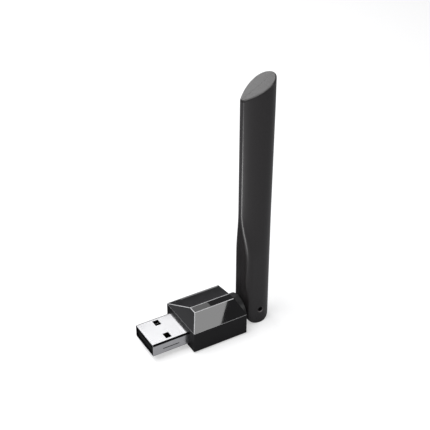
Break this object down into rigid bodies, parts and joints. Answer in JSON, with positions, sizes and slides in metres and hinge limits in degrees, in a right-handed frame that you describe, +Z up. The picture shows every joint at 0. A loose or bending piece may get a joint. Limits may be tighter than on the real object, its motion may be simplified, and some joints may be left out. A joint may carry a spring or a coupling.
{
  "type": "usb wifi adapter",
  "caption": "Small black USB stick with a faceted glossy cap and a tall blade antenna with a sloping top that swivels about the stick's axis and folds down behind it.",
  "frame": {"origin": "centre of the case's flat underside", "axes": "+Z up along the upright antenna, +X from the case towards the antenna, so that the plug points along -X"},
  "size_m": [0.0442, 0.018, 0.087],
  "materials": {
    "plug_steel": "smooth nickel-plated sheet steel",
    "plug_plastic": "fine matt moulding",
    "contact_gold": "gold-plated strip",
    "case_plastic": "fine satin moulding",
    "cap_plastic": "polished, piano gloss",
    "board_laminate": "solder mask on glass laminate",
    "chip_resin": "moulded resin",
    "small_steel": "bright plated steel",
    "ferrite": "sintered ferrite",
    "capacitor_ceramic": "fired ceramic with tinned ends",
    "coax_jacket": "extruded jacket",
    "swivel_plastic": "satin moulding",
    "ring_rubber": "moulded rubber",
    "antenna_plastic": "fine satin moulding",
    "pin_steel": "blackened steel",
    "washer_nylon": "natural nylon",
    "sleeve_brass": "drawn brass tube",
    "insulator_plastic": "white moulded dielectric",
    "radiator_copper": "bare copper wire"
  },
  "bodies": {
    "stick": {"usb_shell": "plug_steel", "usb_insulator": "plug_plastic", "usb_contacts": "contact_gold", "lower_case": "case_plastic", "upper_cap": "cap_plastic", "circuit_board": "board_laminate", "radio_chip": "chip_resin", "memory_chip": "chip_resin", "crystal": "small_steel", "power_inductor": "ferrite", "capacitors": "capacitor_ceramic", "resistors": "chip_resin", "coax_board": "coax_jacket", "swivel_socket": "swivel_plastic", "thrust_washer": "small_steel"},
    "swivel": {"swivel_knuckle": "swivel_plastic", "retaining_clip": "small_steel", "friction_ring": "ring_rubber", "coax_swivel": "coax_jacket"},
    "antenna": {"antenna_right_shell": "antenna_plastic", "antenna_left_shell": "antenna_plastic", "hinge_pin": "pin_steel", "hinge_washers": "washer_nylon", "coax_antenna": "coax_jacket", "ground_sleeve": "sleeve_brass", "sleeve_insulator": "insulator_plastic", "radiator": "radiator_copper", "radiator_holder": "insulator_plastic"}
  },
  "joints": [
    {"name": "antenna_swivel", "type": "hinge", "parent": "stick", "child": "swivel", "pos_m": [0.0106, -0.002, 0.0048], "axis": [1, 0, 0], "range_deg": [-90, 90]},
    {"name": "antenna_fold", "type": "hinge", "parent": "swivel", "child": "antenna", "pos_m": [0.0166, -0.002, 0.0048], "axis": [0, 1, 0], "range_deg": [0, 90]}
  ]
}
